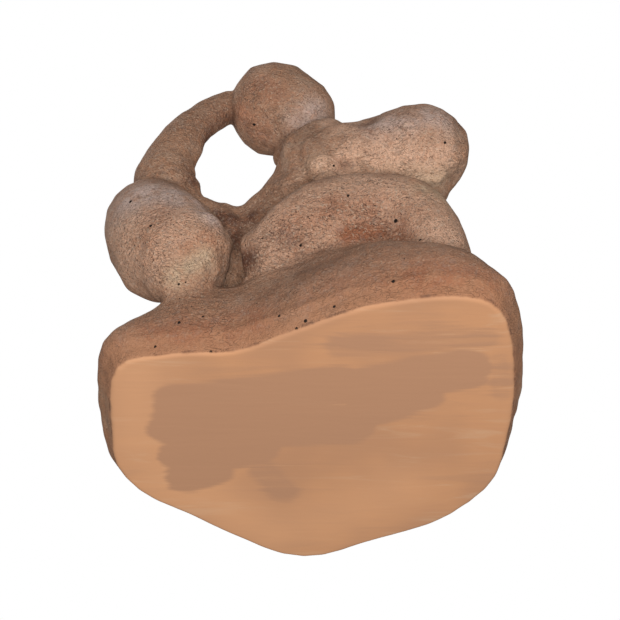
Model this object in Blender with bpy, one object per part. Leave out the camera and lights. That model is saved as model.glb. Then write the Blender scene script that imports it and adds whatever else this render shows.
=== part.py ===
"""Hand-built clay figure: a faceless seated body with one hand to its head, on a mound of clay.

Every lump of clay is its own solid. The potter presses the lumps on one after the other, and each new lump takes
the shape of what it is pressed against, so each piece here is cut by the pieces that were there before it.
The frame: metres, +Z up, the standing face on z = 0, the front of the figure towards -Y.
Left and right are as they look from the front.
"""

import math

import bmesh
import bpy
from mathutils import Vector

# Driving sizes of the base, in metres.
SLAB_THICKNESS = 0.010
JOINT_GAP = 0.0003

# How finely the round surfaces are faceted.
OUTLINE_STEPS = 4
ROLL_SIDES = 18
ROLL_STEP = 0.009
CAP_RINGS = 3

# The plan of the standing face, anticlockwise from the near left corner.
BASE_OUTLINE = [
    (-0.088, -0.041),
    (-0.062, -0.050),
    (-0.034, -0.052),
    (-0.006, -0.066),
    (0.026, -0.081),
    (0.062, -0.086),
    (0.084, -0.078),
    (0.093, -0.040),
    (0.092, 0.010),
    (0.077, 0.053),
    (0.035, 0.080),
    (-0.003, 0.096),
    (-0.044, 0.072),
    (-0.080, 0.043),
    (-0.092, 0.005),
]
BASE_CENTRE = Vector((0.002, 0.004))

# Sides of the slab and of the mound: (height, share of the standing face's outline).
SLAB_PROFILE = [
    (0.0, 1.0),
    (0.0015, 1.018),
    (0.0045, 1.032),
    (SLAB_THICKNESS, 1.05),
]
PLINTH_PROFILE = [
    (SLAB_THICKNESS + JOINT_GAP, 1.05),
    (0.017, 1.07),
    (0.025, 1.075),
    (0.035, 1.055),
    (0.045, 1.01),
    (0.052, 0.93),
    (0.056, 0.80),
    (0.058, 0.60),
    (0.059, 0.30),
]
# The mound's top falls away towards its left and right ends by this much at HALF_WIDTH from the middle.
END_DROP = 0.034
HALF_WIDTH = 0.095
# Above the standing face everything in the base is pushed sideways by this much.
LEAN = -0.0012

# Each lump of clay, in the order in which it is pressed on: (x, y, z, radius) along its middle line.
LUMPS = {
    "seat": [
        (-0.024, 0.014, 0.062, 0.028),
        (0.010, 0.022, 0.068, 0.034),
        (0.042, 0.014, 0.064, 0.029),
    ],
    "left_thigh": [
        (-0.026, 0.006, 0.068, 0.020),
        (-0.044, -0.014, 0.078, 0.021),
        (-0.058, -0.030, 0.084, 0.020),
    ],
    "right_thigh": [
        (0.040, 0.002, 0.066, 0.022),
        (0.034, -0.024, 0.069, 0.022),
        (0.026, -0.050, 0.066, 0.019),
    ],
    "torso": [
        (0.014, 0.014, 0.086, 0.036),
        (0.020, -0.002, 0.106, 0.036),
        (0.018, -0.020, 0.126, 0.028),
        (0.012, -0.032, 0.142, 0.018),
    ],
    "belly": [
        (-0.036, -0.026, 0.094, 0.015),
        (-0.018, -0.026, 0.096, 0.018),
        (0.002, -0.028, 0.094, 0.018),
    ],
    "shoulders": [
        (0.004, -0.034, 0.132, 0.016),
        (0.028, -0.036, 0.134, 0.018),
        (0.052, -0.040, 0.130, 0.015),
    ],
    "right_shin": [
        (-0.022, -0.057, 0.062, 0.010),
        (-0.010, -0.058, 0.070, 0.016),
        (0.010, -0.058, 0.081, 0.020),
        (0.029, -0.058, 0.086, 0.0205),
        (0.046, -0.058, 0.082, 0.020),
        (0.055, -0.060, 0.067, 0.0185),
        (0.059, -0.061, 0.054, 0.0175),
    ],
    "left_knee": [
        (-0.077, -0.040, 0.097, 0.0245),
        (-0.073, -0.045, 0.085, 0.0268),
        (-0.067, -0.049, 0.074, 0.0268),
        (-0.062, -0.053, 0.066, 0.0245),
    ],
    "right_arm": [
        (0.008, -0.056, 0.127, 0.0105),
        (0.020, -0.055, 0.132, 0.0155),
        (0.034, -0.055, 0.133, 0.019),
        (0.049, -0.058, 0.136, 0.021),
        (0.058, -0.059, 0.135, 0.0204),
    ],
    "left_elbow": [
        (-0.068, -0.034, 0.118, 0.017),
        (-0.072, -0.040, 0.127, 0.016),
    ],
    "left_upper_arm": [
        (0.010, -0.043, 0.155, 0.010),
        (0.001, -0.047, 0.140, 0.012),
        (-0.0085, -0.046, 0.123, 0.0105),
        (-0.020, -0.041, 0.109, 0.009),
        (-0.035, -0.036, 0.104, 0.0065),
        (-0.048, -0.035, 0.113, 0.0065),
        (-0.057, -0.037, 0.123, 0.0075),
    ],
    "neck": [
        (-0.009, -0.034, 0.162, 0.008),
        (-0.003, -0.035, 0.160, 0.010),
        (0.004, -0.037, 0.162, 0.009),
    ],
    "head": [
        (-0.017, -0.040, 0.188, 0.0246),
        (-0.009, -0.040, 0.183, 0.0226),
    ],
    "left_forearm": [
        (-0.073, -0.040, 0.134, 0.0145),
        (-0.0695, -0.042, 0.153, 0.0115),
        (-0.062, -0.042, 0.168, 0.010),
        (-0.053, -0.041, 0.181, 0.0088),
        (-0.042, -0.040, 0.190, 0.0082),
        (-0.032, -0.040, 0.191, 0.0078),
    ],
    "elbow_coil": [
        (-0.059, -0.047, 0.115, 0.005),
        (-0.050, -0.045, 0.107, 0.0055),
        (-0.043, -0.043, 0.099, 0.0055),
        (-0.037, -0.041, 0.093, 0.005),
    ],
}

# Base colours (linear RGB) and one roughness: dry, unglazed clay.
FACE_CLAY = (0.60, 0.33, 0.17)
BODY_CLAY = (0.33, 0.17, 0.10)
DARK_CLAY = (0.26, 0.13, 0.08)
PALE_CLAY = (0.38, 0.21, 0.13)
CLAY_ROUGHNESS = 0.9
OTHER_CLAYS = {
    "left_knee": PALE_CLAY,
    "left_upper_arm": DARK_CLAY,
    "neck": DARK_CLAY,
    "head": PALE_CLAY,
    "elbow_coil": DARK_CLAY,
}


def clear_scene():
    for thing in list(bpy.data.objects):
        bpy.data.objects.remove(thing, do_unlink=True)


def catmull_rom(before, start, end, after, share):
    """One point of the smooth curve between start and end, for points with any number of coordinates."""
    squared = share * share
    cubed = squared * share
    return [
        0.5 * (2 * b + (c - a) * share + (2 * a - 5 * b + 4 * c - d) * squared + (3 * b - a - 3 * c + d) * cubed)
        for a, b, c, d in zip(before, start, end, after)
    ]


def closed_outline(points, steps):
    """A smooth closed curve through the points, anticlockwise."""
    count = len(points)
    curve = []
    for index in range(count):
        around = [points[(index + offset) % count] for offset in (-1, 0, 1, 2)]
        curve += [Vector(catmull_rom(*around, step / steps)) for step in range(steps)]
    return curve


def smooth_stations(stations):
    """Stations about ROLL_STEP apart on a smooth curve through the given ones."""
    padded = [stations[0]] + list(stations) + [stations[-1]]
    curve = []
    for index in range(1, len(padded) - 2):
        start, end = padded[index], padded[index + 1]
        length = (Vector(end[:3]) - Vector(start[:3])).length
        steps = max(1, round(length / ROLL_STEP))
        around = padded[index - 1:index + 3]
        curve += [catmull_rom(*around, step / steps) for step in range(steps)]
    curve.append(list(stations[-1]))
    return curve


def ring_frames(centres):
    """A tangent and two crosswise directions at each centre, carried along without twisting."""
    last = len(centres) - 1
    side = Vector((0.0, 0.0, 1.0))
    frames = []
    for index in range(last + 1):
        tangent = (centres[min(index + 1, last)] - centres[max(index - 1, 0)]).normalized()
        side = side - tangent * side.dot(tangent)
        if side.length < 0.01:
            side = tangent.orthogonal()
        side.normalize()
        frames.append((tangent, side.copy(), tangent.cross(side)))
    return frames


def roll_rings(stations, extra):
    """Centre, radius and frame of every ring of a roll with round ends, each radius grown by extra."""
    curve = smooth_stations(stations)
    centres = [Vector(point[:3]) for point in curve]
    radii = [point[3] + extra for point in curve]
    frames = ring_frames(centres)
    turns = [math.radians(90) * (ring + 1) / (CAP_RINGS + 1) for ring in range(CAP_RINGS)]
    start = [
        (centres[0] - frames[0][0] * radii[0] * math.sin(turn), radii[0] * math.cos(turn), frames[0])
        for turn in reversed(turns)
    ]
    end = [
        (centres[-1] + frames[-1][0] * radii[-1] * math.sin(turn), radii[-1] * math.cos(turn), frames[-1])
        for turn in turns
    ]
    poles = (centres[0] - frames[0][0] * radii[0], centres[-1] + frames[-1][0] * radii[-1])
    return start + list(zip(centres, radii, frames)) + end, poles


def join_rings(mesh, rings):
    """Side faces between each ring of vertices and the next."""
    for lower, upper in zip(rings, rings[1:]):
        count = len(lower)
        for index in range(count):
            following = (index + 1) % count
            mesh.faces.new((lower[index], lower[following], upper[following], upper[index]))


def finish_object(name, mesh):
    """Turns a bmesh into a smooth-shaded object in the scene."""
    bmesh.ops.recalc_face_normals(mesh, faces=mesh.faces)
    data = bpy.data.meshes.new(name)
    mesh.to_mesh(data)
    mesh.free()
    thing = bpy.data.objects.new(name, data)
    bpy.context.scene.collection.objects.link(thing)
    data.shade_smooth()
    return thing


def roll_object(name, stations, extra=0.0):
    """A roll of clay with round ends along a smooth line."""
    mesh = bmesh.new()
    placed, poles = roll_rings(stations, extra)
    rings = []
    for centre, radius, (_, side, other) in placed:
        ring = []
        for step in range(ROLL_SIDES):
            turn = math.tau * step / ROLL_SIDES
            ring.append(mesh.verts.new(centre + (side * math.cos(turn) + other * math.sin(turn)) * radius))
        rings.append(ring)
    join_rings(mesh, rings)
    for ring, pole in ((rings[0], poles[0]), (rings[-1], poles[1])):
        tip = mesh.verts.new(pole)
        for index in range(ROLL_SIDES):
            mesh.faces.new((tip, ring[index], ring[(index + 1) % ROLL_SIDES]))
    return finish_object(name, mesh)


def stacked_object(name, profile, drop=0.0, extra=0.0):
    """The base's outline carried up through a profile of (height, share), with its top dropped at the ends."""
    mesh = bmesh.new()
    outline = closed_outline(BASE_OUTLINE, OUTLINE_STEPS)
    bottom, top = profile[0][0], profile[-1][0]
    rings = []
    for height, share in profile:
        rise = (height - bottom) / (top - bottom)
        ring = []
        for point in outline:
            arm = point - BASE_CENTRE
            place = BASE_CENTRE + arm * share + arm.normalized() * extra
            place.x += LEAN * min(height / SLAB_THICKNESS, 1.0)
            fall = drop * rise * (place.x / HALF_WIDTH) ** 2
            ring.append(mesh.verts.new((place.x, place.y, height - fall)))
        rings.append(ring)
    join_rings(mesh, rings)
    for ring in (rings[0], rings[-1]):
        middle = mesh.verts.new(sum((vertex.co for vertex in ring), Vector()) / len(ring))
        for index, vertex in enumerate(ring):
            mesh.faces.new((middle, vertex, ring[(index + 1) % len(ring)]))
    return finish_object(name, mesh)


def as_cutter(thing):
    thing.hide_render = True
    thing.display_type = "WIRE"
    return thing


def press_against(piece, cutters):
    """Takes out of a lump the room of everything it is pressed against."""
    for cutter in cutters:
        cut = piece.modifiers.new("pressed_on_" + cutter.name, "BOOLEAN")
        cut.operation = "DIFFERENCE"
        cut.solver = "EXACT"
        cut.object = cutter


def clay(name, colour):
    material = bpy.data.materials.new(name)
    material.use_nodes = True
    surface = material.node_tree.nodes["Principled BSDF"]
    surface.inputs["Base Color"].default_value = (*colour, 1.0)
    surface.inputs["Roughness"].default_value = CLAY_ROUGHNESS
    surface.inputs["Metallic"].default_value = 0.0
    return material


def corners(thing):
    """Lowest and highest corner of an object's own mesh."""
    places = [vertex.co for vertex in thing.data.vertices]
    low = Vector([min(place[axis] for place in places) for axis in range(3)])
    high = Vector([max(place[axis] for place in places) for axis in range(3)])
    return low, high


def boxes_meet(one, other):
    low_one, high_one = corners(one)
    low_other, high_other = corners(other)
    return all(low_one[axis] < high_other[axis] and low_other[axis] < high_one[axis] for axis in range(3))


def build():
    clear_scene()
    slab = stacked_object("base_slab", SLAB_PROFILE)
    slab.data.materials.append(clay("wiped_clay", FACE_CLAY))
    plinth = stacked_object("plinth", PLINTH_PROFILE, END_DROP)
    plinth.data.materials.append(clay("mound_clay", BODY_CLAY))

    raised = [(height + JOINT_GAP, share) for height, share in PLINTH_PROFILE]
    cutters = [as_cutter(stacked_object("room_of_plinth", raised, END_DROP, JOINT_GAP))]
    for name, stations in LUMPS.items():
        lump = roll_object(name, stations)
        lump.data.materials.append(clay(name + "_clay", OTHER_CLAYS.get(name, BODY_CLAY)))
        press_against(lump, [cutter for cutter in cutters if boxes_meet(lump, cutter)])
        cutters.append(as_cutter(roll_object("room_of_" + name, stations, JOINT_GAP)))


build()
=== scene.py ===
"""Looks of the hand-built clay figure.

Every lump of clay in the frame is turned into a signed distance on one shared grid. There the lumps are
blended as soft clay blends under the fingers, dented, smoothed and roughened, and then cut apart again along
the lines where they were pressed together. Each lump becomes a closed piece that stands in for its CAD node.
Lengths are in metres in the part's frame: +Z up, the front of the figure towards -Y.
"""

import math

import bpy
import numpy as np
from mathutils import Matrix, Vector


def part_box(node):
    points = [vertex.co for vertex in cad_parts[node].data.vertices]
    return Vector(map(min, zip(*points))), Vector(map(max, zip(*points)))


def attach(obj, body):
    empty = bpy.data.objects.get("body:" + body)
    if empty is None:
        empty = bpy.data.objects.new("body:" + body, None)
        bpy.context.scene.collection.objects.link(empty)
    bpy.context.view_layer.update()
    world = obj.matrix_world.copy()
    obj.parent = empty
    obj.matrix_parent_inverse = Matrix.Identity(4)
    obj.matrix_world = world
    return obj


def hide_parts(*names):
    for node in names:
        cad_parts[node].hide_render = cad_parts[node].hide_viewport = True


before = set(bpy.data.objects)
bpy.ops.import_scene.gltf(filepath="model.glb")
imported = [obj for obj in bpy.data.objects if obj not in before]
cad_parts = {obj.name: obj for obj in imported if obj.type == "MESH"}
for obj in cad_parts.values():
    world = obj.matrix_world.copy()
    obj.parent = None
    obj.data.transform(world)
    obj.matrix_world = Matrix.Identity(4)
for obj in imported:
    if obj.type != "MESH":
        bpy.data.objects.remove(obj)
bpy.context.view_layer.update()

import openvdb
from mathutils import Vector

# The shared grid.
VOXEL = 0.0008
MARGIN = 0.011
BAND_VOXELS = 12

# How the pieces meet: how far each runs on under its neighbour, and how fast it dives there.
SEAM_OVERLAP = 0.0012
SEAM_DIVE = 0.2

# The lumps in the order in which they are pressed on, and how widely each is smeared into those before it.
SOFTNESS = {
    "base_slab": 0.002,
    "plinth": 0.005,
    "seat": 0.014,
    "left_thigh": 0.012,
    "right_thigh": 0.012,
    "torso": 0.016,
    "belly": 0.012,
    "shoulders": 0.014,
    "right_shin": 0.012,
    "left_knee": 0.008,
    "right_arm": 0.014,
    "left_elbow": 0.006,
    "left_upper_arm": 0.012,
    "neck": 0.012,
    "left_forearm": 0.008,
    "elbow_coil": 0.005,
    "head": 0.0035,
}

# The line left round each lump where it was pressed on: its depth. All lines are equally wide.
PRESS_LINE_WIDTH = 0.0011
PRESS_LINES = {
    "right_shin": 0.0006,
    "left_knee": 0.0003,
    "right_arm": 0.0006,
    "neck": 0.0005,
    "head": 0.0010,
    "elbow_coil": 0.0006,
}

# Finger work: (x, y, z, radius, height). A negative height is a dent. It fades out at PUSH_REACH radii.
PUSH_REACH = 2.2
FINGER_WORK = {
    "flat of the knee": [(-0.058, -0.074, 0.054, 0.013, -0.0020), (-0.078, -0.076, 0.074, 0.012, -0.0008)],
    "edge of the knee": [(-0.046, -0.070, 0.072, 0.006, 0.0014), (-0.042, -0.065, 0.060, 0.007, 0.0012)],
    "foot of the knee": [(-0.070, -0.054, 0.043, 0.010, 0.0034), (-0.056, -0.052, 0.042, 0.010, 0.0030)],
    "end of the arm": [(0.006, -0.066, 0.114, 0.008, 0.0034), (0.017, -0.064, 0.117, 0.0045, -0.0022),
                       (0.019, -0.068, 0.126, 0.005, -0.0010)],
    "ridge of the arm": [(0.021, -0.070, 0.129, 0.0045, 0.0010), (0.034, -0.074, 0.129, 0.005, 0.0014),
                         (0.047, -0.078, 0.130, 0.005, 0.0014), (0.060, -0.078, 0.131, 0.005, 0.0010)],
    "top of the arm": [(0.032, -0.071, 0.142, 0.006, -0.0012), (0.027, -0.070, 0.143, 0.007, -0.0016),
                       (0.057, -0.077, 0.143, 0.010, 0.0020), (0.075, -0.071, 0.132, 0.007, -0.0012)],
    "dents of the arm": [(0.027, -0.066, 0.120, 0.005, -0.0008), (0.042, -0.064, 0.116, 0.006, 0.0012),
                         (0.054, -0.067, 0.117, 0.005, -0.0008), (0.036, -0.070, 0.120, 0.004, 0.0006)],
    "side of the arm": [(0.063, -0.046, 0.119, 0.009, 0.0025), (0.071, -0.054, 0.113, 0.008, -0.0034)],
    "hollow under the shin": [(0.030, -0.073, 0.064, 0.009, -0.0016), (0.044, -0.075, 0.058, 0.008, -0.0016)],
    "bulges of the mound": [(-0.052, -0.056, 0.022, 0.016, 0.0026), (0.066, -0.090, 0.022, 0.020, 0.0018)],
    "valley of the mound": [(-0.006, -0.068, 0.040, 0.013, -0.0030), (0.014, -0.078, 0.044, 0.013, -0.0022),
                            (-0.024, -0.060, 0.030, 0.012, -0.0018)],
    "edge of the hole": [(-0.018, -0.057, 0.122, 0.007, -0.0044), (-0.025, -0.054, 0.107, 0.008, -0.0034),
                         (-0.032, -0.049, 0.105, 0.006, -0.0022), (-0.055, -0.052, 0.117, 0.007, -0.0046),
                         (-0.049, -0.051, 0.109, 0.006, -0.0018), (-0.056, -0.036, 0.128, 0.007, -0.0036),
                         (-0.051, -0.036, 0.121, 0.007, -0.0044), (-0.058, -0.042, 0.153, 0.008, 0.0030)],
    "side of the knee": [(-0.086, -0.042, 0.058, 0.011, 0.0022), (-0.077, -0.037, 0.052, 0.009, 0.0010)],
    "right end of the mound": [(0.079, -0.091, 0.019, 0.010, -0.0028)],
    "rim of the base": [(-0.092, 0.026, 0.004, 0.018, 0.0026), (-0.078, 0.046, 0.004, 0.018, 0.0018),
                        (-0.041, 0.073, 0.004, 0.018, 0.0016), (-0.018, 0.088, 0.004, 0.014, 0.0012),
                        (0.086, 0.033, 0.004, 0.018, 0.0020), (0.057, 0.066, 0.004, 0.018, 0.0024),
                        (0.038, 0.077, 0.004, 0.014, 0.0010)],
    "crevice": [(-0.031, -0.060, 0.054, 0.006, -0.0034), (-0.034, -0.052, 0.064, 0.005, -0.0016),
                (-0.040, -0.061, 0.056, 0.005, -0.0014), (-0.032, -0.046, 0.074, 0.006, -0.0020)],
}

# Smears of another tone or finish, and of painted light and painted shade: (start, end, half width,
# strength).
# Each kind is a value that the material reads.
SMEARS = {
    "grey": [
        # The top and the right edge of the knee.
        ((-0.086, -0.069, 0.088), (-0.062, -0.073, 0.084), 0.012, 0.95),
        ((-0.056, -0.070, 0.080), (-0.046, -0.071, 0.071), 0.006, 0.90),
        # The foot of the ball and the top of the right arm.
        ((-0.003, -0.053, 0.162), (0.003, -0.054, 0.169), 0.009, 0.70),
        ((0.033, -0.076, 0.134), (0.063, -0.079, 0.134), 0.009, 0.75),
    ],
    "salmon": [
        # The left side and the front of the ball.
        ((-0.036, -0.050, 0.175), (-0.026, -0.044, 0.166), 0.007, 0.90),
        ((-0.028, -0.063, 0.181), (-0.020, -0.063, 0.176), 0.008, 0.70),
        # Along the crest of the shin.
        ((-0.009, -0.073, 0.065), (0.012, -0.078, 0.072), 0.009, 0.85),
        ((0.029, -0.075, 0.073), (0.049, -0.077, 0.065), 0.009, 0.70),
        # The knee.
        ((-0.056, -0.068, 0.051), (-0.047, -0.069, 0.057), 0.006, 0.90),
        ((-0.076, -0.069, 0.056), (-0.070, -0.074, 0.068), 0.009, 0.50),
    ],
    "cream_and_painted_light": [
        # The foot of the knee.
        ((-0.062, -0.061, 0.041), (-0.049, -0.065, 0.050), 0.006, 0.85),
        # The right arm: painted light on its inner end and its foot, where they lie in shade, and a pale
        # smear on its lower ridge.
        ((0.004, -0.067, 0.111), (0.010, -0.067, 0.113), 0.008, 0.70),
        ((0.025, -0.065, 0.119), (0.048, -0.066, 0.113), 0.006, 0.60),
        ((0.056, -0.062, 0.111), (0.064, -0.062, 0.109), 0.008, 0.90),
        # The top of the shin, on the right.
        ((0.056, -0.076, 0.086), (0.064, -0.074, 0.082), 0.007, 0.90),
        # The border of the standing face.
        ((-0.080, -0.037, 0.000), (-0.083, 0.006, 0.000), 0.018, 0.60),
        ((-0.070, 0.037, 0.000), (-0.020, 0.077, 0.000), 0.020, 0.60),
        ((0.010, 0.067, 0.000), (0.044, 0.044, 0.000), 0.020, 0.50),
    ],
    "rosy_painted_light": [
        # Painted light in a rosy tone: the right arm.
        ((0.027, -0.067, 0.119), (0.065, -0.070, 0.117), 0.010, 0.75),
        ((0.007, -0.067, 0.112), (0.014, -0.067, 0.116), 0.008, 0.90),
        ((0.010, -0.060, 0.156), (0.016, -0.070, 0.140), 0.008, 0.60),
        # Both ends of the shin.
        ((0.052, -0.077, 0.060), (0.062, -0.078, 0.050), 0.009, 0.60),
        ((-0.012, -0.070, 0.076), (-0.004, -0.072, 0.080), 0.007, 0.50),
    ],
    "rough": [
        # The knee.
        ((-0.088, -0.064, 0.068), (-0.066, -0.074, 0.066), 0.019, 0.90),
        ((-0.084, -0.060, 0.054), (-0.074, -0.064, 0.050), 0.014, 0.60),
        # The shin and the right arm.
        ((-0.015, -0.068, 0.060), (0.028, -0.078, 0.080), 0.016, 1.00),
        ((0.028, -0.078, 0.080), (0.062, -0.078, 0.058), 0.016, 0.95),
        ((0.040, -0.072, 0.120), (0.052, -0.072, 0.120), 0.015, 0.40),
    ],
    # Painted shade, laid on in a dark umber tone.
    "painted_shade_umber": [
        # Painted shade: the bridge under the hole, and the crevice below it.
        ((-0.044, -0.050, 0.096), (-0.028, -0.048, 0.098), 0.006, 0.95),
        ((-0.036, -0.043, 0.086), (-0.038, -0.049, 0.091), 0.005, 0.90),
        ((-0.033, -0.054, 0.057), (-0.030, -0.061, 0.054), 0.006, 1.00),
        # Painted shade on the inner side of the raised arm, and on its outside.
        ((-0.057, -0.048, 0.122), (-0.057, -0.050, 0.128), 0.005, 0.80),
        ((-0.056, -0.041, 0.158), (-0.043, -0.042, 0.179), 0.005, 0.80),
        ((-0.067, -0.053, 0.155), (-0.050, -0.049, 0.179), 0.009, 0.25),
        # The front of the ball and the foot of the shin.
        ((-0.026, -0.062, 0.180), (-0.017, -0.062, 0.175), 0.005, 0.40),
        ((-0.019, -0.066, 0.057), (-0.008, -0.068, 0.056), 0.007, 0.40),
        # Painted shade in the valleys of the mound.
        ((-0.004, -0.065, 0.043), (0.035, -0.088, 0.030), 0.011, 0.30),
        ((-0.055, -0.057, 0.025), (-0.037, -0.054, 0.038), 0.009, 0.30),
    ],
    "russet_and_painted_shade": [
        # The foot of the mound, from left to right.
        ((-0.094, -0.034, 0.006), (-0.091, -0.042, 0.006), 0.010, 0.70),
        ((-0.073, -0.052, 0.008), (-0.027, -0.061, 0.009), 0.014, 0.80),
        ((0.001, -0.074, 0.013), (0.019, -0.083, 0.015), 0.010, 0.45),
        ((0.041, -0.089, 0.009), (0.079, -0.086, 0.004), 0.015, 0.90),
        ((0.089, -0.049, 0.000), (0.092, -0.040, 0.002), 0.012, 0.70),
        # Painted shade: the reddish hollow under the shin.
        ((0.017, -0.069, 0.061), (0.040, -0.069, 0.064), 0.006, 1.00),
        ((0.040, -0.069, 0.062), (0.046, -0.072, 0.055), 0.005, 0.70),
    ],
}

# Dull strokes rubbed across the standing face: (start, end, half width, strength).
# RUBBED_EDGE is the width over which they fade at their sides.
RUBBED_STROKES = [
    ((-0.060, -0.017), (0.013, -0.030), 0.014, 1.00),
    ((-0.062, -0.001), (0.017, -0.004), 0.015, 1.00),
    ((-0.058, 0.019), (-0.029, 0.012), 0.015, 1.00),
    ((-0.060, 0.035), (-0.047, 0.029), 0.011, 1.00),
    ((0.026, -0.029), (0.070, -0.042), 0.014, 1.00),
    ((0.026, -0.014), (0.051, -0.025), 0.012, 1.00),
    ((-0.023, 0.029), (-0.013, 0.044), 0.011, 0.60),
    ((0.014, -0.056), (0.079, -0.062), 0.011, 0.55),
    ((0.086, -0.048), (0.089, -0.024), 0.009, 0.50),
]
RUBBED_EDGE = 0.012

# The largest open pores: (x, y, z, radius).
PITS = [
    (0.041, -0.072, 0.067, 0.0012),
    (-0.002, -0.070, 0.003, 0.0010),
    (0.037, -0.088, 0.010, 0.0010),
    (-0.045, -0.052, 0.001, 0.0009),
    (-0.061, -0.058, 0.039, 0.0007),
    (-0.058, -0.059, 0.039, 0.0005),
    (0.018, -0.079, 0.077, 0.0009),
    (-0.004, -0.066, 0.057, 0.0009),
    (-0.029, -0.048, 0.167, 0.0010),
    (0.066, -0.074, 0.122, 0.0009),
    (0.012, -0.067, 0.113, 0.0008),
    (0.025, -0.078, 0.094, 0.0006),
    (-0.086, -0.069, 0.084, 0.0010),
    (-0.075, -0.072, 0.064, 0.0010),
    (-0.060, -0.056, 0.016, 0.0009),
    (-0.049, -0.057, 0.019, 0.0008),
    (-0.071, -0.051, 0.005, 0.0008),
    (-0.053, -0.050, 0.000, 0.0009),
    (-0.006, -0.067, 0.001, 0.0009),
    (-0.014, -0.067, 0.009, 0.0008),
    (0.011, -0.077, 0.005, 0.0009),
    (-0.091, -0.032, 0.000, 0.0009),
    (0.051, -0.076, 0.050, 0.0008),
]

# Unevenness of the hand-worked surface: (size of its lumps, height, seed). It calms below CALM_HEIGHT.
UNEVENNESS = [
    (0.030, 0.0012, 11),
    (0.012, 0.00070, 12),
    (0.0056, 0.00034, 13),
    (0.0028, 0.00016, 14),
]
CALM_HEIGHT = 0.006
SMOOTHING_PASSES = 2

# The random values behind the unevenness reach this far to either side, because the spline through them
# flattens them. Every axis has a few more of them than its length needs, for the spline's ends.
RANDOM_REACH = 1.8
SPLINE_SPARE = 5

# The surface's hollows are read from every COARSE_STEP-th cell, after more smoothing.
COARSE_STEP = 3
COARSE_SMOOTHING_PASSES = 2

# The floor is a square this far out to each side, just below the standing face.
FLOOR_REACH = 6.0
FLOOR_DROP = 0.0002


class Grid:
    """The shared grid: its first cell, its size, and the ways between cells and metres."""

    def __init__(self, low, high):
        self.first = np.floor((np.array(low) - MARGIN) / VOXEL).astype(int)
        last = np.ceil((np.array(high) + MARGIN) / VOXEL).astype(int)
        self.shape = tuple(int(count) for count in last - self.first + 1)

    def places(self, axis):
        """Coordinate of every cell along one axis, in metres."""
        return ((np.arange(self.shape[axis]) + self.first[axis]) * VOXEL).astype(np.float32)

    def block(self, low, high, margin):
        """Slices of the cells around a box."""
        start = np.floor((np.array(low) - margin) / VOXEL).astype(int) - self.first
        end = np.ceil((np.array(high) + margin) / VOXEL).astype(int) - self.first + 1
        return tuple(
            slice(max(0, int(a)), min(int(b), count)) for a, b, count in zip(start, end, self.shape)
        )


def solid_distance(node, grid, block):
    """Signed distance to a CAD solid on a block of the grid, negative inside."""
    mesh = node.data
    mesh.calc_loop_triangles()
    points = np.zeros(len(mesh.vertices) * 3, np.float32)
    mesh.vertices.foreach_get("co", points)
    corners = np.zeros(len(mesh.loop_triangles) * 3, np.int32)
    mesh.loop_triangles.foreach_get("vertices", corners)
    volume = openvdb.FloatGrid.createLevelSetFromPolygons(
        points.reshape(-1, 3),
        triangles=corners.reshape(-1, 3).astype(np.uint32),
        transform=openvdb.createLinearTransform(voxelSize=VOXEL),
        halfWidth=BAND_VOXELS,
    )
    shape = tuple(part.stop - part.start for part in block)
    values = np.zeros(shape, np.float32)
    start = tuple(int(first + part.start) for first, part in zip(grid.first, block))
    volume.copyToArray(values, ijk=start)
    return values


def smooth_minimum(one, other, width):
    """The lower of two distances, rounded off where they are closer than width."""
    mix = np.clip(0.5 + 0.5 * (other - one) / width, 0.0, 1.0)
    return other + (one - other) * mix - width * mix * (1.0 - mix)


def soften(field, passes):
    """Averages each cell with its neighbours along every axis."""
    for _ in range(passes):
        for axis in range(3):
            middle = np.swapaxes(field, 0, axis)
            middle[1:-1] = 0.25 * (middle[:-2] + middle[2:]) + 0.5 * middle[1:-1]
    return field


def spline_taps(share):
    """Weights of the four lattice values around a place, for a smooth curve through the lattice."""
    rest = 1.0 - share
    return (
        rest ** 3 / 6.0,
        (3.0 * share ** 3 - 6.0 * share ** 2 + 4.0) / 6.0,
        (3.0 * rest ** 3 - 6.0 * rest ** 2 + 4.0) / 6.0,
        share ** 3 / 6.0,
    )


def lumps(shape, size, seed):
    """Smooth random values, about -1 to 1, with lumps of the given size in metres."""
    step = size / VOXEL
    counts = [int(count / step) + SPLINE_SPARE for count in shape]
    random = np.random.default_rng(seed)
    field = random.uniform(-RANDOM_REACH, RANDOM_REACH, counts).astype(np.float32)
    for axis, count in enumerate(shape):
        places = np.arange(count) / step
        base = places.astype(int)
        field = sum(
            np.take(field, base + tap, axis=axis) * as_column(weight, axis)
            for tap, weight in enumerate(spline_taps(places - base))
        )
    return field


def as_column(values, axis):
    """A list of values laid along one axis of a block."""
    shape = [1, 1, 1]
    shape[axis] = -1
    return np.asarray(values, np.float32).reshape(shape)


def press(field, grid, spot):
    """One push of a finger: raises or dents the surface around a place."""
    x, y, z, radius, height = spot
    block = grid.block((x, y, z), (x, y, z), PUSH_REACH * radius)
    away = sum(
        as_column((grid.places(axis)[part] - centre) ** 2, axis)
        for axis, (part, centre) in enumerate(zip(block, (x, y, z)))
    )
    field[block] -= height * np.exp(-away / (radius * radius))


def read_field(field, first, pitch, points):
    """Values of a coarse field at the points, blended between its cells."""
    place = points / pitch - first
    base = np.clip(np.floor(place).astype(int), 0, np.array(field.shape) - 2)
    share = np.clip(place - base, 0.0, 1.0)
    total = np.zeros(len(points), np.float32)
    for corner in np.ndindex(2, 2, 2):
        weight = np.prod(np.where(corner, share, 1.0 - share), axis=1)
        cell = base + corner
        total += weight * field[cell[:, 0], cell[:, 1], cell[:, 2]]
    return total


def mark(piece, name, values):
    """Stores one value for every point of a piece under a name that the material reads."""
    layer = piece.data.attributes.new(name, "FLOAT", "POINT")
    layer.data.foreach_set("value", np.asarray(values, np.float32))


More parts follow.
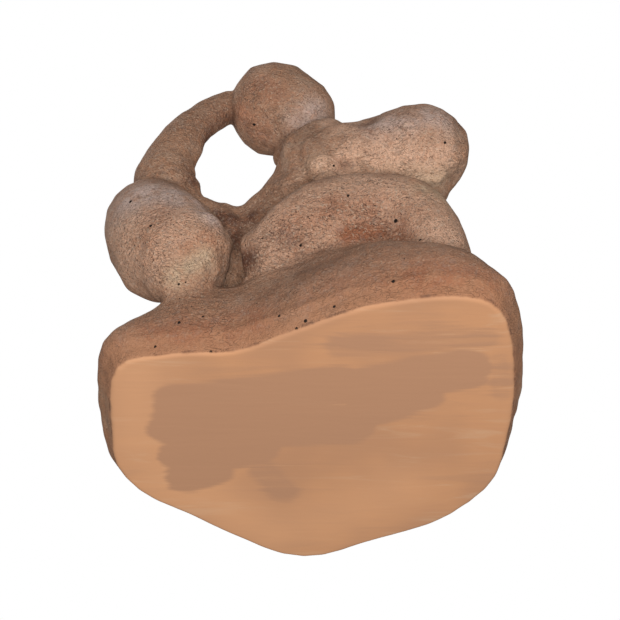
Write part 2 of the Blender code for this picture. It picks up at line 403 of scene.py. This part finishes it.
def away_from_line(points, start, end):
    """Distance from every point to the straight line between two places."""
    along = np.subtract(end, start)
    share = np.clip((points - start) @ along / (along @ along), 0.0, 1.0)
    return np.linalg.norm(points - start - share[:, None] * along, axis=1)


def mark_smears(piece, points):
    """Marks each kind of smear: strongest along its lines, fading beside them."""
    for kind, smears in SMEARS.items():
        bare = np.ones(len(points))
        for start, end, half_width, strength in smears:
            bare *= 1.0 - strength * np.exp(-(away_from_line(points, start, end) / half_width) ** 2)
        mark(piece, kind, 1.0 - bare)


def mark_rubbed(piece, points):
    """Marks the rubbed strokes of the standing face, with an even inside and a short edge."""
    total = np.zeros(len(points))
    for start, end, half_width, strength in RUBBED_STROKES:
        past_edge = away_from_line(points[:, :2], start, end) - half_width
        inside = np.clip(0.5 - past_edge / RUBBED_EDGE, 0.0, 1.0)
        np.maximum(total, strength * inside, out=total)
    mark(piece, "rubbed", total)


def mark_pits(pieces):
    """Marks the largest open pores, each round the point of the surface nearest to its place."""
    meshes = [piece.data for piece in pieces.values()]
    clouds = []
    for mesh in meshes:
        cloud = np.zeros(len(mesh.vertices) * 3, np.float32)
        mesh.vertices.foreach_get("co", cloud)
        clouds.append(cloud.reshape(-1, 3))
    marks = [np.zeros(len(cloud), np.float32) for cloud in clouds]
    everything = np.concatenate(clouds)
    for x, y, z, radius in PITS:
        middle = everything[np.argmin(np.sum((everything - (x, y, z)) ** 2, axis=1))]
        for cloud, values in zip(clouds, marks):
            away = np.sum((cloud - middle) ** 2, axis=1)
            np.maximum(values, np.exp(-away / (radius * radius)), out=values)
    for piece, values in zip(pieces.values(), marks):
        mark(piece, "pit", values)


def piece_from(field, grid, block, name):
    """A closed, smooth-shaded mesh of the zero surface of a block of distances, and its points."""
    volume = openvdb.FloatGrid(BAND_VOXELS * VOXEL)
    start = tuple(int(first + part.start) for first, part in zip(grid.first, block))
    volume.copyFromArray(np.ascontiguousarray(field), ijk=start)
    volume.transform = openvdb.createLinearTransform(voxelSize=VOXEL)
    points, quads = volume.convertToQuads(isovalue=0.0)
    mesh = bpy.data.meshes.new(name)
    mesh.vertices.add(len(points))
    mesh.vertices.foreach_set("co", points.ravel())
    mesh.loops.add(len(quads) * 4)
    mesh.loops.foreach_set("vertex_index", quads[:, ::-1].ravel().astype(np.int32))
    mesh.polygons.add(len(quads))
    mesh.polygons.foreach_set("loop_start", np.arange(0, len(quads) * 4, 4, dtype=np.int32))
    mesh.update(calc_edges=True)
    mesh.validate()
    mesh.shade_smooth()
    piece = bpy.data.objects.new(name, mesh)
    bpy.context.scene.collection.objects.link(piece)
    return piece, points


def model_clay():
    """Blends the CAD solids into one clay surface and cuts it into one closed piece for each of them."""
    boxes = {name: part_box(name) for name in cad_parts}
    low = [min(box[0][axis] for box in boxes.values()) for axis in range(3)]
    high = [max(box[1][axis] for box in boxes.values()) for axis in range(3)]
    grid = Grid(low, high)
    far = np.float32(BAND_VOXELS * VOXEL)
    clay = np.full(grid.shape, far, np.float32)
    nearest = clay.copy()
    second = clay.copy()
    distances = {}
    for name, softness in SOFTNESS.items():
        block = grid.block(*boxes[name], MARGIN)
        values = solid_distance(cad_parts[name], grid, block)
        distances[name] = (block, values)
        clay[block] = smooth_minimum(clay[block], values, softness)
        second[block] = np.minimum(second[block], np.maximum(nearest[block], values))
        nearest[block] = np.minimum(nearest[block], values)

    beyond = {}
    for name, (block, values) in distances.items():
        others = np.where(values <= nearest[block], second[block], nearest[block])
        beyond[name] = 0.5 * (values - others)
        if name in PRESS_LINES:
            clay[block] += PRESS_LINES[name] * np.exp(-(beyond[name] / PRESS_LINE_WIDTH) ** 2)
    for spots in FINGER_WORK.values():
        for spot in spots:
            press(clay, grid, spot)
    soften(clay, SMOOTHING_PASSES)
    calm = np.clip(grid.places(2) / CALM_HEIGHT, 0.0, 1.0)
    for size, height, seed in UNEVENNESS:
        clay += lumps(grid.shape, size, seed) * as_column(height * calm, 2)
    np.maximum(clay, as_column(-grid.places(2), 2), out=clay)

    coarse = clay[::COARSE_STEP, ::COARSE_STEP, ::COARSE_STEP].copy()
    soften(coarse, COARSE_SMOOTHING_PASSES)
    pieces = {}
    for name, (block, _) in distances.items():
        apart = beyond[name]
        own = np.maximum(clay[block] + SEAM_DIVE * np.maximum(apart, 0.0), apart - SEAM_OVERLAP)
        piece, points = piece_from(own, grid, block, "clay_" + name)
        depth = -read_field(coarse, grid.first / COARSE_STEP, COARSE_STEP * VOXEL, points)
        mark(piece, "cavity", depth)
        mark_smears(piece, points)
        mark_rubbed(piece, points)
        pieces[name] = piece
    mark_pits(pieces)
    return pieces


def new_material(name):
    """A material with an empty node tree, and the helper that fills the tree."""
    material = bpy.data.materials.new(name)
    material.use_nodes = True
    material.node_tree.nodes.clear()
    return material, Tree(material.node_tree)


# How the shader nodes are laid out in the editor, and the colour sockets of a mix node.
NODES_IN_ROW = 12
NODE_WIDTH = 220
NODE_HEIGHT = 260
MIX_SHARE = 0
MIX_ONE = 6
MIX_OTHER = 7
MIX_RESULT = 2


class Tree:
    """Short ways to add and join shader nodes."""

    def __init__(self, tree):
        self.tree = tree
        self.count = 0

    def node(self, kind, inputs=None, **settings):
        made = self.tree.nodes.new(kind)
        self.count += 1
        row, column = divmod(self.count, NODES_IN_ROW)
        made.location = (NODE_WIDTH * column, -NODE_HEIGHT * row)
        for key, value in settings.items():
            setattr(made, key, value)
        for key, value in (inputs or {}).items():
            if isinstance(value, bpy.types.NodeSocket):
                self.tree.links.new(value, made.inputs[key])
            else:
                made.inputs[key].default_value = value
        return made

    def math(self, operation, one, other=0.0, clamp=False):
        made = self.node("ShaderNodeMath", {0: one, 1: other}, operation=operation, use_clamp=clamp)
        return made.outputs[0]

    def times(self, one, other):
        return self.math("MULTIPLY", one, other)

    def plus(self, one, other):
        return self.math("ADD", one, other)

    def minus(self, one, other):
        return self.math("SUBTRACT", one, other)

    def larger(self, one, other):
        return self.math("MAXIMUM", one, other)

    def absolute(self, value):
        return self.math("ABSOLUTE", value)

    def ramp(self, value, low, high, at_low=0.0, at_high=1.0):
        """value mapped from low..high to at_low..at_high, held at both ends."""
        made = self.node(
            "ShaderNodeMapRange",
            {"Value": value, "From Min": low, "From Max": high, "To Min": at_low, "To Max": at_high},
            interpolation_type="SMOOTHSTEP",
        )
        return made.outputs["Result"]

    def mix(self, share, one, other):
        """One colour, with a share of the other mixed in."""
        inputs = {MIX_SHARE: share, MIX_ONE: one, MIX_OTHER: other}
        made = self.node("ShaderNodeMix", inputs, data_type="RGBA")
        return made.outputs[MIX_RESULT]

    def noise(self, place, scale, detail=3.0, roughness=0.55, distortion=0.0):
        inputs = {
            "Vector": place,
            "Scale": scale,
            "Detail": detail,
            "Roughness": roughness,
            "Distortion": distortion,
        }
        return self.node("ShaderNodeTexNoise", inputs).outputs["Fac"]

    def cells(self, place, scale):
        """Distance to the nearest of many scattered points, and a random value for each point."""
        made = self.node("ShaderNodeTexVoronoi", {"Vector": place, "Scale": scale}, feature="F1")
        return made.outputs["Distance"], made.outputs["Color"]

    def stretched(self, place, scale, turn=(0.0, 0.0, 0.0)):
        made = self.node("ShaderNodeMapping", {"Vector": place, "Scale": scale, "Rotation": turn})
        return made.outputs["Vector"]


def colour(red, green, blue):
    """An opaque colour from its linear parts."""
    return (red, green, blue, 1.0)


# Tones of the rough outside.
BODY_TONES = (colour(0.43, 0.236, 0.144), colour(0.355, 0.194, 0.120), colour(0.47, 0.290, 0.194))
CREASE_BROWN = colour(0.12, 0.058, 0.036)
PORE_BLACK = colour(0.020, 0.013, 0.010)
PALE_GRAIN = colour(0.66, 0.49, 0.36)
ORANGE_GRAIN = colour(0.52, 0.235, 0.130)
GREY_GRAIN = colour(0.32, 0.240, 0.205)
SMEAR_TONES = {
    "grey": colour(0.58, 0.425, 0.365),
    "salmon": colour(0.49, 0.235, 0.140),
    "cream_and_painted_light": colour(0.62, 0.435, 0.285),
    "painted_shade_umber": colour(0.15, 0.066, 0.040),
    "russet_and_painted_shade": colour(0.36, 0.140, 0.072),
    "rosy_painted_light": colour(0.80, 0.480, 0.325),
}
SMEARED_TONE = colour(0.405, 0.192, 0.102)

# Tones of the standing face.
WIPED_TONES = (colour(0.56, 0.278, 0.138), colour(0.49, 0.248, 0.131))
PALE_WIPE = colour(0.68, 0.350, 0.178)
RUBBED_TONE = colour(0.445, 0.232, 0.131)

# Heights above the standing face between which the wiped finish gives way to the rough outside, and how far
# that border wanders.
WIPE_BORDER = (0.0004, 0.0013)
WIPE_WANDER = 0.0020

# Low down, the grain is calmer, painted shade darkens the clay, and a wandering band is smeared over it.
COARSE_ABOVE = 0.045
PAINTED_SHADE_BELOW = (0.016, 0.056)
SMEARED_BELOW = 0.018
SMEAR_WANDER = 0.030

# A broken dark line runs round the rim of the base.
RIM_LINE_HEIGHT = 0.0014
RIM_LINE_HALF_WIDTH = 0.0009

# How deep a hollow is where its dirt and painted shade start to turn it brown, and where it is brownest.
HOLLOW_DEPTHS = (0.0001, 0.0013)

# Between these values of "pit" and "rubbed" lie the edges of the largest pores and of the rubbed strokes.
PIT_EDGE = (0.42, 0.62)
RUBBED_VALUES = (0.34, 0.66)

# How deep the relief of the grain and of the wiping strokes goes.
GRAIN_RELIEF = 0.0014
STROKE_RELIEF = 0.0006


def pores(tree, place, scale, share, size):
    """Scattered dark pits: 1 inside a pit, 0 outside."""
    spread, pick = tree.cells(place, scale)
    draw = tree.node("ShaderNodeSeparateColor", {"Color": pick}).outputs["Red"]
    chosen = tree.ramp(draw, 1.0 - share, 1.005 - share)
    return tree.times(tree.ramp(spread, size, 0.6 * size), chosen)


def grooves(tree, place, scale, width):
    """Thin, wandering lines, as coarse grains leave when dragged: 1 on a line, 0 beside it."""
    waves = tree.noise(place, scale, detail=1.5, roughness=0.5, distortion=0.9)
    beside = tree.absolute(tree.minus(waves, 0.5))
    return tree.ramp(beside, width, 0.0)


def attribute(tree, name):
    """A value that was marked on the points of the pieces."""
    return tree.node("ShaderNodeAttribute", attribute_name=name).outputs["Fac"]


def wandering(tree, height, patch, reach):
    """The height, raised and lowered from place to place, for a border that isn't straight."""
    return tree.plus(height, tree.times(tree.minus(patch, 0.5), reach))


def matt(tree, tone, roughness, bump, specular):
    """A matt surface of one tone, with a relief."""
    inputs = {
        "Base Color": tone,
        "Roughness": roughness,
        "Normal": bump.outputs["Normal"],
        "Specular IOR Level": specular,
    }
    return tree.node("ShaderNodeBsdfPrincipled", inputs).outputs["BSDF"]


def open_pores(tree, place):
    """Small pores scattered at two sizes, and the largest ones at their own places."""
    scattered = tree.larger(
        pores(tree, place, scale=150.0, share=0.07, size=0.065),
        pores(tree, place, scale=330.0, share=0.08, size=0.12),
    )
    return tree.larger(scattered, tree.ramp(attribute(tree, "pit"), *PIT_EDGE))


def smeared_over(tree, tone, patch):
    """The tone with every kind of smear laid over it, painted light and shade among them, thicker in some
    places than in others.
    """
    thickness = tree.ramp(patch, 0.32, 0.60, 0.35, 1.2)
    for kind, smear_tone in SMEAR_TONES.items():
        uneven = tree.math("MULTIPLY", attribute(tree, kind), thickness, clamp=True)
        tone = tree.mix(uneven, tone, smear_tone)
    return tone


def darker_foot(tree, tone, patch, height):
    """The tone, with painted shade low down, smeared over above the standing face, with a broken line round
    the rim.
    """
    # Painted shade: darker towards the standing face.
    tone = tree.mix(tree.ramp(height, *PAINTED_SHADE_BELOW, 0.25, 0.0), tone, CREASE_BROWN)
    band = wandering(tree, height, patch, SMEAR_WANDER)
    tone = tree.mix(tree.ramp(band, 0.0, SMEARED_BELOW, 0.75, 0.0), tone, SMEARED_TONE)
    beside = tree.absolute(tree.minus(height, RIM_LINE_HEIGHT))
    line = tree.ramp(beside, RIM_LINE_HALF_WIDTH, 0.0)
    broken = tree.ramp(patch, 0.50, 0.62, 0.0, 0.6)
    return tree.mix(tree.times(line, broken), tone, CREASE_BROWN)


def coarse_body(tree, place, patch, height):
    """The rough outside: torn, grainy clay, with dirt and painted shade in its hollows, painted light and
    shade in some places, open pores, and smoother low down.
    """
    rough = attribute(tree, "rough")
    calm = tree.ramp(height, 0.0, COARSE_ABOVE, 0.55, 1.0)
    grain = tree.plus(calm, tree.times(rough, 0.8))
    torn_grain = tree.plus(calm, tree.times(rough, 0.45))

    broad = tree.noise(place, 26.0, detail=3.0)
    mottle = tree.noise(place, 360.0, detail=2.0, roughness=0.6, distortion=0.5)
    speckle = tree.noise(place, 820.0, detail=2.0, roughness=0.7)
    dragged_place = tree.stretched(place, (820.0, 1200.0, 1300.0), (0.3, 0.5, 0.6))
    dragged = tree.noise(dragged_place, 1.0, detail=2.0, roughness=0.6, distortion=1.2)
    line_place = tree.stretched(place, (170.0, 380.0, 420.0), (0.2, 0.5, 0.7))
    torn = tree.ramp(tree.noise(place, 60.0, detail=2.0), 0.44, 0.60, 0.15, 1.0)
    grooved = tree.times(grooves(tree, line_place, scale=1.0, width=0.030), torn)
    pore = open_pores(tree, place)

    tone = tree.mix(tree.ramp(broad, 0.38, 0.62), BODY_TONES[1], BODY_TONES[0])
    tone = tree.mix(tree.ramp(patch, 0.45, 0.72), tone, BODY_TONES[2])
    # Painted light: the rough places are lightened with the rosy tone.
    tone = tree.mix(tree.times(rough, 0.85), tone, SMEAR_TONES["rosy_painted_light"])
    tone = smeared_over(tree, tone, patch)
    tone = tree.mix(tree.ramp(mottle, 0.52, 0.70, 0.0, 0.36), tone, ORANGE_GRAIN)
    tone = tree.mix(tree.ramp(mottle, 0.48, 0.30, 0.0, 0.30), tone, GREY_GRAIN)
    tone = tree.mix(tree.times(tree.ramp(speckle, 0.53, 0.70, 0.0, 0.46), grain), tone, PALE_GRAIN)
    torn_dark = tree.times(tree.ramp(dragged, 0.47, 0.29, 0.0, 0.72), torn_grain)
    tone = tree.mix(torn_dark, tone, CREASE_BROWN)
    tone = tree.mix(tree.times(grooved, 0.14), tone, CREASE_BROWN)
    # Dirt and painted shade: the hollows turn dark brown.
    hollow = tree.ramp(attribute(tree, "cavity"), *HOLLOW_DEPTHS, 0.0, 0.78)
    tone = tree.mix(hollow, tone, CREASE_BROWN)
    tone = darker_foot(tree, tone, patch, height)
    tone = tree.mix(pore, tone, PORE_BLACK)

    skin = tree.plus(tree.times(dragged, 0.75), tree.times(speckle, 0.65))
    skin = tree.plus(skin, tree.times(mottle, 0.8))
    skin = tree.minus(skin, tree.times(grooved, 0.35))
    skin = tree.minus(tree.times(skin, grain), pore)
    bump = tree.node("ShaderNodeBump", {"Height": skin, "Strength": 1.0, "Distance": GRAIN_RELIEF})
    roughness = tree.ramp(speckle, 0.3, 0.7, 0.98, 0.84)
    return matt(tree, tone, roughness, bump, specular=0.2)


def wiped_face(tree, place):
    """The standing face: wiped smooth with long strokes, and rubbed dull in the middle."""
    streak_place = tree.stretched(place, (11.0, 95.0, 1.0), (0.0, 0.0, math.radians(-6.0)))
    streak = tree.noise(streak_place, 1.0, detail=6.0, roughness=0.62, distortion=1.1)
    fine_streak_place = tree.stretched(place, (34.0, 480.0, 1.0), (0.0, 0.0, math.radians(-5.0)))
    fine_streak = tree.noise(fine_streak_place, 1.0, detail=3.0, roughness=0.6, distortion=0.8)
    cloud = tree.noise(place, 17.0, detail=2.0)
    grain = tree.noise(place, 900.0, detail=2.0)

    tone = tree.mix(tree.ramp(cloud, 0.38, 0.62), WIPED_TONES[1], WIPED_TONES[0])
    tone = tree.mix(tree.ramp(streak, 0.48, 0.72, 0.0, 0.55), tone, RUBBED_TONE)
    tone = tree.mix(tree.ramp(streak, 0.46, 0.25, 0.0, 0.45), tone, SMEAR_TONES["cream_and_painted_light"])
    tone = tree.mix(tree.ramp(fine_streak, 0.52, 0.70, 0.0, 0.16), tone, SMEAR_TONES["salmon"])
    tone = tree.mix(attribute(tree, "cream_and_painted_light"), tone, PALE_WIPE)
    rubbed = tree.plus(attribute(tree, "rubbed"), tree.times(tree.minus(streak, 0.5), 0.9))
    tone = tree.mix(tree.ramp(rubbed, *RUBBED_VALUES, 0.0, 0.95), tone, RUBBED_TONE)

    relief = tree.plus(tree.times(streak, 0.8), tree.times(fine_streak, 0.3))
    relief = tree.plus(relief, tree.times(grain, 0.10))
    bump = tree.node("ShaderNodeBump", {"Height": relief, "Strength": 0.30, "Distance": STROKE_RELIEF})
    roughness = tree.ramp(streak, 0.3, 0.7, 0.80, 0.66)
    return matt(tree, tone, roughness, bump, specular=0.3)


def fired_clay():
    """Coarse, unglazed sculpture clay, with the wiped finish where the standing face is."""
    material, tree = new_material("fired_clay")
    place = tree.node("ShaderNodeTexCoord").outputs["Object"]
    patch = tree.noise(place, 95.0, detail=4.0, roughness=0.6)
    height = tree.node("ShaderNodeSeparateXYZ", {"Vector": place}).outputs["Z"]
    border = wandering(tree, height, patch, WIPE_WANDER)
    inputs = {
        0: tree.ramp(border, *WIPE_BORDER),
        1: wiped_face(tree, place),
        2: coarse_body(tree, place, patch, height),
    }
    surface = tree.node("ShaderNodeMixShader", inputs)
    tree.node("ShaderNodeOutputMaterial", {"Surface": surface.outputs["Shader"]})
    return material


def build_pieces():
    material = fired_clay()
    for name, piece in model_clay().items():
        piece.data.materials.append(material)
        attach(piece, "root")
        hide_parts(name)


def one_sided_floor():
    """A pale floor at the standing face, seen from above only, so that it never hides the underside."""
    mesh = bpy.data.meshes.new("floor")
    corners = [(-1, -1), (1, -1), (1, 1), (-1, 1)]
    points = [(x * FLOOR_REACH, y * FLOOR_REACH, -FLOOR_DROP) for x, y in corners]
    mesh.from_pydata(points, [], [(0, 1, 2, 3)])
    floor = bpy.data.objects.new("floor", mesh)
    bpy.context.scene.collection.objects.link(floor)
    material, tree = new_material("pale_floor")
    side = tree.node("ShaderNodeNewGeometry").outputs["Backfacing"]
    pale = tree.node("ShaderNodeBsdfDiffuse", {"Color": colour(0.86, 0.86, 0.86)})
    clear = tree.node("ShaderNodeBsdfTransparent")
    both = tree.node("ShaderNodeMixShader", {0: side, 1: pale.outputs["BSDF"], 2: clear.outputs["BSDF"]})
    tree.node("ShaderNodeOutputMaterial", {"Surface": both.outputs["Shader"]})
    mesh.materials.append(material)
    floor.visible_diffuse = False
    floor.visible_glossy = False
    floor.visible_transmission = False
    floor.visible_shadow = False


def white_room(strength):
    """Even light from all round that the camera sees as plain white."""
    world = bpy.data.worlds.new("white_room")
    bpy.context.scene.world = world
    world.use_nodes = True
    world.node_tree.nodes.clear()
    tree = Tree(world.node_tree)
    seen = tree.node("ShaderNodeBackground", {"Color": colour(1.0, 1.0, 1.0), "Strength": 1.0})
    felt = tree.node("ShaderNodeBackground", {"Color": colour(1.0, 0.99, 0.98), "Strength": strength})
    is_camera = tree.node("ShaderNodeLightPath").outputs["Is Camera Ray"]
    both = tree.node("ShaderNodeMixShader", {0: is_camera, 1: felt.outputs[0], 2: seen.outputs[0]})
    tree.node("ShaderNodeOutputWorld", {"Surface": both.outputs["Shader"]})


def soft_light(name, place, target, size, power):
    """A square area light that looks at a place."""
    data = bpy.data.lights.new(name, "AREA")
    data.shape = "SQUARE"
    data.size = size
    data.energy = power
    light = bpy.data.objects.new(name, data)
    bpy.context.scene.collection.objects.link(light)
    light.location = place
    light.rotation_euler = (Vector(target) - Vector(place)).to_track_quat("-Z", "Y").to_euler()


def light_stage():
    middle = (0.0, 0.0, 0.08)
    white_room(strength=0.32)
    soft_light("key_below", (0.06, -0.90, -0.80), middle, size=0.5, power=15.0)
    soft_light("key_above", (-0.55, 0.35, 1.15), middle, size=0.9, power=9.0)


def place_camera():
    """Below the figure and in front of it, looking up at its standing face."""
    elevation = math.radians(-45.0)
    distance = 1.034
    target = Vector((0.0, 0.0, 0.080))
    data = bpy.data.cameras.new("camera")
    data.lens = 120.0
    data.sensor_width = 36.0
    data.clip_start = 0.01
    camera = bpy.data.objects.new("camera", data)
    bpy.context.scene.collection.objects.link(camera)
    camera.location = target + distance * Vector((0.0, -math.cos(elevation), math.sin(elevation)))
    camera.rotation_euler = (math.radians(90.0) - elevation, 0.0, 0.0)
    bpy.context.scene.camera = camera


place_camera()
build_pieces()
one_sided_floor()
light_stage()
bpy.context.scene.view_settings.view_transform = "Standard"
